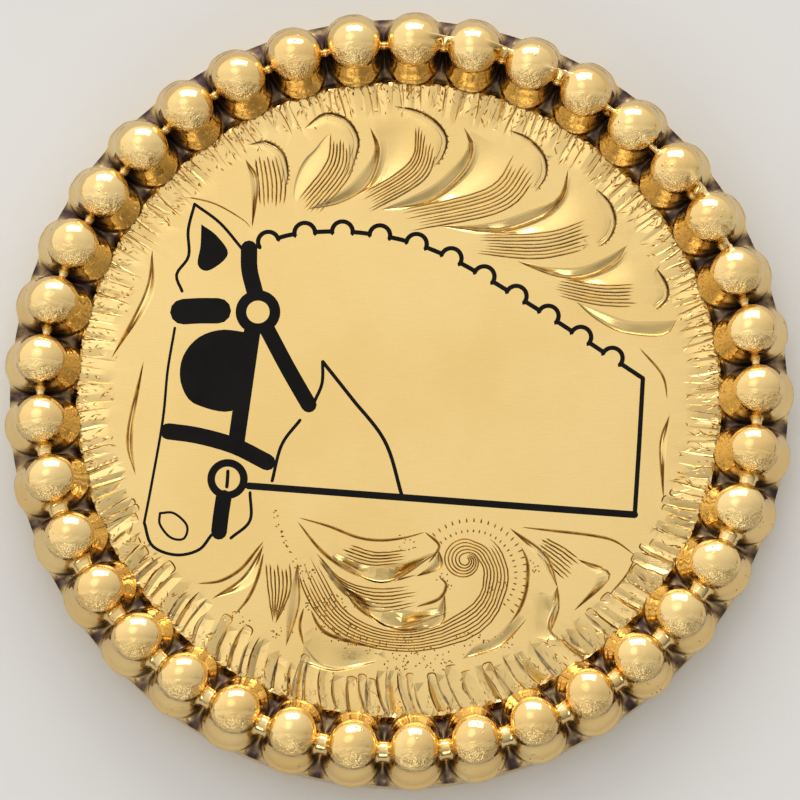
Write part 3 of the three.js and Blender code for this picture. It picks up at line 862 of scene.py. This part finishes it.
def make_bead_rim():
    """The rim, sought outwards from a line along the web, in rows that are closest at the necks."""
    offsets = [0, 0.17, 0.34, 0.5, 0.65, 0.79, 0.91, 1.02, 1.11, 1.19, 1.26, 1.31, 1.35, 1.39, 1.43]
    offsets = [-s for s in offsets[:0:-1]] + offsets + [GAP]
    sweeps = ((-25, 50, 16), (50, 130, 30), (130, 205, 16), (205, 335, 10))
    up = np.radians(np.concatenate([np.linspace(*sweep, endpoint=False) for sweep in sweeps]))
    per_bead = []
    for i in range(BEAD_COUNT):
        north, east = math.sin(TURN * i / BEAD_COUNT), math.cos(TURN * i / BEAD_COUNT)
        per_bead.append(
            dict(
                reach=BEAD_REACH * rng.uniform(0.985, 1.0),
                width=BEAD_WIDTH * rng.uniform(0.965, 1.0),
                top=BEAD_HEIGHT * rng.uniform(0.97, 1.0),
                ball=BALL_RADIUS * rng.uniform(0.97, 1.02),
                shift=rng.uniform(-0.03, 0.0),
                lean=rng.uniform(-0.06, 0.06),
                out=BALL_NORTH * north,
                on=BALL_NORTH * east,
                wall=BALL_WALL + BALL_SPREAD * max(0, north),
                dings=[
                    (rng.uniform(-0.9, 0.9), rng.uniform(-0.7, 0.7), rng.uniform(0.25, 0.5))
                    for _ in range(rng.randint(1, 4))
                ],
            )
        )
    necks, burrs = [], {}
    for i in range(BEAD_COUNT):
        degrees = (i + 0.5) * 360 / BEAD_COUNT
        south = min(1, max(0, -3 * math.sin(math.radians(degrees))))
        necks.append(THIN_NECK + (NECK_RADIUS - THIN_NECK) * south)
        if 18 < degrees < 88 or rng.random() < 0.06:
            burrs[i] = (rng.uniform(-0.15, 0.5), rng.uniform(1.6, 1.95), rng.uniform(-0.5, 0.1))

    def solid(a, s, h, i):
        """How far outside the rim a place is: across the rim, along it and above the web."""
        body = np.full(s.shape, 9.0)
        above, level = h > WIDEST, np.abs(h - WIDEST)
        for side in (-1, 0, 1):
            one = per_bead[(i + side) % BEAD_COUNT]
            along = s - side * 2 * GAP
            across = a - one["shift"] - one["lean"] * along
            collar = oval(across, along, one["reach"] - LIP_OUT, one["width"] - LIP_OUT / 3)
            collar += np.where(above, (level / COLLAR_TALL) ** 1.3, (level / FOOT_TALL) ** 2)
            lip = oval(across, along, one["reach"], one["width"])
            lip += (level / np.where(above, LIP_TALL, FOOT_TALL)) ** 4
            collar = smooth_least((np.sqrt(collar) - 1) * 1.1, (np.sqrt(lip) - 1) * 1.1, 0.03)
            away = np.hypot(across - one["out"], along - one["on"])
            ball = np.hypot(away, h - (one["top"] - one["ball"])) - one["ball"]
            ball = -smooth_least(-ball, one["wall"] - away, 0.1)
            each = smooth_least(ball, collar, 0.22)
            if side == 0:
                for da, ds, size in one["dings"]:
                    dent = np.hypot(across - da, along - ds) / size
                    each = each + 0.03 * size * np.exp(-dent * dent * 2.2)
            body = np.minimum(body, each)
        neck = np.hypot(a, (h - NECK_RISE) / 1.1) - np.where(s > 0, necks[i], necks[i - 1])
        web = np.maximum(np.abs(a) - WEB_HALF, np.abs(h + 0.34) - 0.34)
        out = smooth_least(smooth_least(body, neck, 0.16), web, 0.12)
        for side, gap in ((1, i), (-1, (i - 1) % BEAD_COUNT)):
            if gap in burrs:
                place, top, skew = burrs[gap]
                along = s - side * GAP
                thin = np.abs(a - place - skew * along) - 0.09
                burr = np.maximum(np.maximum(thin, np.abs(along) - 0.85), h - top - 0.25 * along)
                out = smooth_least(out, burr, 0.06)
        return out

    s = np.repeat(np.array(offsets)[:, None], len(up), axis=1)
    ca, sa = np.cos(up)[None, :], np.sin(up)[None, :]
    spots, patina_and_shade, worn = [], [], []
    for i, one in enumerate(per_bead):
        near, far = np.zeros(s.shape), np.full(s.shape, RAY_LENGTH)
        hit = np.zeros(s.shape, bool)
        for r in np.linspace(RAY_LENGTH, 0.1, 76):
            inside = solid(r * ca, s, RAY_START + r * sa, i) < 0
            near = np.where(inside & ~hit, r, near)
            far = np.where(~hit & ~inside, r, far)
            hit |= inside
        for _ in range(12):
            mid = (near + far) / 2
            inside = solid(mid * ca, s, RAY_START + mid * sa, i) < 0
            near = np.where(inside, mid, near)
            far = np.where(inside, far, mid)
        h = np.maximum(RAY_START + near * sa, WEB_FOOT - WEB_TOP)
        a = near * ca + noise.normal(0, 0.0035, s.shape)
        turn = TURN * i / BEAD_COUNT + s / BEAD_CIRCLE
        out = BEAD_CIRCLE + a
        place = np.stack([out * np.cos(turn), out * np.sin(turn), WEB_TOP + h], axis=2)
        spots.append(place.reshape(-1, 3))
        # Darker in the gaps between beads: partly patina, partly painted shade that covers the lit
        # web there. Along the south the necks keep their gold, as if lit, and the collars' inner
        # foot is darker too.
        in_gap = np.clip((np.abs(s) - 0.98) / 0.3, 0, 1) * np.clip((1.05 - h) / 0.5, 0, 1)
        in_groove = np.clip((-1.45 - a) / 0.2, 0, 1) * np.clip((0.5 - h) / 0.25, 0, 1)
        bright = np.clip(2.4 - np.abs(a) / 0.3, 0, 1) * np.clip(-np.sin(turn) * 1.8, 0, 1)
        patina_and_shade.append(np.clip(in_gap * (1 - 0.95 * bright) + in_groove, 0, 1).ravel())
        away = np.hypot(a - one["out"], s - one["on"])
        on_ball = np.clip((one["wall"] + 0.04 - away) / 0.08, 0, 1) * np.clip((h - 1) / 0.2, 0, 1)
        southward = -(a * np.sin(turn) + s * np.cos(turn))
        worn.append((np.clip((southward - 0.05) / 0.45, 0, 1) * on_ball).ravel())
    rows, count = len(offsets) * BEAD_COUNT, len(up)
    faces = []
    for r in range(rows):
        for c in range(count):
            n, m = (r + 1) % rows, (c + 1) % count
            faces.append((r * count + c, n * count + c, n * count + m, r * count + m))
    marks = {"patina_and_shade": np.concatenate(patina_and_shade), "worn": np.concatenate(worn)}
    return make_piece("bead_rim_dressed", np.concatenate(spots), faces, marks)


class Nodes:
    """The node tree of a material or a world, with short names for what is used here."""

    def __init__(self, owner, coordinates="Object"):
        owner.use_nodes = True
        self.owner = owner
        self.tree = owner.node_tree
        self.shader = self.tree.nodes.get("Principled BSDF")
        self.place = self.tree.nodes.new("ShaderNodeTexCoord").outputs[coordinates]

    def fill(self, node, inputs):
        """Sets a node's sockets, to plain values or to what another node gives."""
        for key, value in inputs.items():
            socket = node.inputs[key]
            if isinstance(value, bpy.types.NodeSocket):
                self.tree.links.new(value, socket)
            elif socket.type == "RGBA":
                socket.default_value = (*value, 1)
            else:
                socket.default_value = value
        return node.outputs

    def stretched(self, scale, turn):
        node = self.tree.nodes.new("ShaderNodeMapping")
        inputs = {"Vector": self.place, "Scale": scale, "Rotation": (0, 0, turn)}
        return self.fill(node, inputs)["Vector"]

    def noise(self, scale, detail=2.0, vector=None, rough=0.5):
        node = self.tree.nodes.new("ShaderNodeTexNoise")
        inputs = {"Vector": vector or self.place, "Scale": scale}
        inputs.update({"Detail": detail, "Roughness": rough})
        return self.fill(node, inputs)["Fac"]

    def cells(self, scale):
        node = self.tree.nodes.new("ShaderNodeTexVoronoi")
        return self.fill(node, {"Vector": self.place, "Scale": scale})["Distance"]

    def span(self, value, low, high, to_low=0.0, to_high=1.0, kind="SMOOTHSTEP"):
        node = self.tree.nodes.new("ShaderNodeMapRange")
        node.interpolation_type = kind
        inputs = {"Value": value, "From Min": low, "From Max": high}
        inputs.update({"To Min": to_low, "To Max": to_high})
        return self.fill(node, inputs)["Result"]

    def math(self, kind, a, b):
        node = self.tree.nodes.new("ShaderNodeMath")
        node.operation = kind
        return self.fill(node, {0: a, 1: b})[0]

    def towards(self, direction):
        node = self.tree.nodes.new("ShaderNodeVectorMath")
        node.operation = "DOT_PRODUCT"
        return self.fill(node, {0: self.place, 1: direction})["Value"]

    def mix(self, share, a, b):
        node = self.tree.nodes.new("ShaderNodeMix")
        node.data_type = "RGBA"
        return self.fill(node, {0: share, 6: a, 7: b})[2]

    def attribute(self, name):
        node = self.tree.nodes.new("ShaderNodeAttribute")
        node.attribute_name = name
        return node.outputs["Fac"]

    def bump(self, height, strength, distance, under=None):
        node = self.tree.nodes.new("ShaderNodeBump")
        inputs = {"Height": height, "Strength": strength, "Distance": distance}
        if under is not None:
            inputs["Normal"] = under
        return self.fill(node, inputs)["Normal"]

    def pits(self, scale, size, patches):
        """Small round pits, only in patches."""
        marks = self.span(self.cells(scale), 0.0, size, 1.0, 0.0)
        return self.math("MULTIPLY", marks, patches)


def plate_gold():
    n = Nodes(bpy.data.materials.new("plate gold"))
    brushed = n.stretched((900, 26000, 900), math.radians(4))
    lines = n.noise(1.0, 3.0, brushed)
    clouds = n.noise(160.0, 3.0)
    pits = n.pits(2600.0, 0.16, n.span(n.noise(900.0, 1.0), 0.6, 0.7))
    base = n.mix(n.span(clouds, 0.3, 0.7), (0.8, 0.565, 0.218), (0.835, 0.612, 0.256))
    mottle = n.span(n.noise(2200.0, 3.0), 0.3, 0.6, 0.55, 1.0)
    grime_and_shade = n.math("MULTIPLY", n.attribute("patina_and_shade"), mottle)
    dull = n.span(lines, 0.3, 0.7, 0.25, 0.36)
    shiny = n.math("MULTIPLY", n.attribute("polish"), 0.14)
    fine = n.bump(lines, 0.16, 0.00001)
    inputs = {
        "Base Color": n.mix(grime_and_shade, base, (0.11, 0.068, 0.058)),
        "Metallic": 1.0,
        "Roughness": n.math("SUBTRACT", dull, shiny),
        "Normal": n.bump(pits, 0.3, 0.00002, fine),
    }
    n.fill(n.shader, inputs)
    return n.owner


def bead_gold():
    n = Nodes(bpy.data.materials.new("bead gold"))
    clouds = n.noise(420.0, 3.0)
    pits = n.pits(3300.0, 0.22, n.span(n.noise(700.0, 2.0), 0.54, 0.66))
    base = n.mix(n.span(clouds, 0.3, 0.7), (0.79, 0.54, 0.21), (0.84, 0.62, 0.275))
    mottle = n.span(n.noise(1800.0, 4.0), 0.3, 0.62, 0.75, 1.0)
    # The rim's mark darkens the colour: patina, and painted shade in the gaps between the beads.
    grime_and_shade = n.math("MULTIPLY", n.attribute("patina_and_shade"), mottle)
    colour = n.mix(grime_and_shade, base, (0.075, 0.045, 0.045))
    rough = n.span(clouds, 0.25, 0.75, 0.07, 0.13)
    soft = n.bump(n.noise(1500.0, 3.0, None, 0.6), 0.4, 0.00004)
    crinkles = n.math("MULTIPLY", n.attribute("worn"), n.noise(2600.0, 4.0, None, 0.62))
    inputs = {
        "Base Color": n.mix(n.math("MULTIPLY", pits, 0.7), colour, (0.2, 0.12, 0.05)),
        "Metallic": 1.0,
        "Roughness": n.math("ADD", rough, n.math("MULTIPLY", grime_and_shade, 0.4)),
        "Normal": n.bump(pits, 0.7, 0.00004, n.bump(crinkles, 1.0, 0.00017, soft)),
    }
    n.fill(n.shader, inputs)
    return n.owner


def black_enamel():
    n = Nodes(bpy.data.materials.new("black enamel"))
    clouds = n.noise(700.0, 3.0)
    shades = (0.004, 0.0036, 0.003), (0.007, 0.006, 0.005)
    inputs = {
        "Base Color": n.mix(n.span(clouds, 0.3, 0.7), *shades),
        "Roughness": n.span(clouds, 0.3, 0.7, 0.42, 0.58),
        "Specular IOR Level": 0.07,
        "Normal": n.bump(n.noise(6000.0, 3.0), 0.2, 0.00002),
    }
    n.fill(n.shader, inputs)
    return n.owner


def floor_paint():
    n = Nodes(bpy.data.materials.new("floor"))
    shades = (0.62, 0.61, 0.59), (0.65, 0.64, 0.62)
    n.fill(n.shader, {"Base Color": n.mix(n.span(n.noise(30.0), 0.3, 0.7), *shades)})
    n.fill(n.shader, {"Roughness": 0.8})
    return n.owner


def add_panel(name, place, size, watts):
    """A rectangular lamp that faces the object."""
    light = bpy.data.lights.new(name, "AREA")
    light.shape = "RECTANGLE"
    light.size, light.size_y = size
    light.energy = watts
    panel = add_object(name, light)
    panel.location = place
    panel.rotation_euler = (-Vector(place)).to_track_quat("-Z", "Y").to_euler()
    panel.visible_camera = False


def add_world():
    """A light tent: brighter to the north and the west, dim and mottled low down in the south.

    There is a soft glow high in the north-west and a little shade from the camera.
    """
    world = bpy.data.worlds.new("studio")
    bpy.context.scene.world = world
    n = Nodes(world, "Generated")
    split = n.tree.nodes.new("ShaderNodeSeparateXYZ")
    north, up = (n.fill(split, {0: n.place})[axis] for axis in ("Y", "Z"))
    patches = n.span(n.noise(7.0, 4.0), 0.5, 0.58, 0.0, 0.8, "LINEAR")
    low_down = n.span(up, 0.5, 0.78, 1.0, 0.0, "LINEAR")
    south = n.span(north, -0.45, 0.1, 1.0, 0.0, "LINEAR")
    dim = n.math("MULTIPLY", n.math("MULTIPLY", patches, low_down), south)
    shade = n.span(n.towards((0, -0.34, 0.94)), 0.968, 0.996, 0.0, 0.26, "LINEAR")
    level = n.math("ADD", n.towards((-0.24, 0.42, 0)), 0.89)
    for less in (dim, shade):
        level = n.math("MULTIPLY", level, n.math("SUBTRACT", 1.0, less))
    glow = n.span(n.towards((-0.27, 0.42, 0.866)), 0.945, 0.992, 0.0, 0.55, "LINEAR")
    ramp = n.tree.nodes.new("ShaderNodeValToRGB")
    steps = [
        (0.0, (0.3, 0.26, 0.22)),
        (0.03, (0.14, 0.11, 0.085)),
        (0.09, (0.17, 0.135, 0.11)),
        (0.16, (0.93, 0.91, 0.88)),
        (1.0, (1.0, 0.985, 0.96)),
    ]
    for where, _ in steps[1:-1]:
        ramp.color_ramp.elements.new(where)
    for element, (where, colour) in zip(ramp.color_ramp.elements, steps):
        element.position = where
        element.color = (*colour, 1)
    lift = n.math("ADD", up, n.span(north, -0.1, 0.45, 0.0, 0.17, "LINEAR"))
    inputs = {"Color": n.fill(ramp, {0: lift})[0], "Strength": n.math("ADD", level, glow)}
    n.fill(n.tree.nodes["Background"], inputs)


def add_camera():
    data = bpy.data.cameras.new("camera")
    data.lens = CAMERA_LENS
    data.clip_start, data.clip_end = 0.005, 5
    camera = add_object("camera", data)
    back = Vector((0, -math.cos(CAMERA_LIFT), math.sin(CAMERA_LIFT)))
    camera.location = CAMERA_TARGET + back * CAMERA_DISTANCE
    camera.rotation_mode = "QUATERNION"
    camera.rotation_quaternion = (-back).to_track_quat("-Z", "Y")
    bpy.context.scene.camera = camera


plate, inlay = make_plate()
beads = make_bead_rim()
for piece, node, slot, material in (
    (plate, "engraved_plate", "plate", plate_gold()),
    (beads, "bead_rim", "beads", bead_gold()),
    (inlay, None, "inlay", black_enamel()),
):
    piece.data.materials.append(material)
    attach(piece, "root")
    if node:
        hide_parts(node)

half = FLOOR_HALF / MM
corners = [(-half, -half, 0), (half, -half, 0), (half, half, 0), (-half, half, 0)]
floor = make_piece("floor", corners, [(0, 1, 2, 3)], {})
floor.data.materials.append(floor_paint())

add_panel("key", (0.0, 0.42, 0.22), (0.4, 0.2), 1.0)
add_panel("low", (-0.06, -0.36, 0.25), (0.3, 0.16), 0.34)
add_world()
add_camera()
bpy.context.scene.view_settings.view_transform = "Standard"
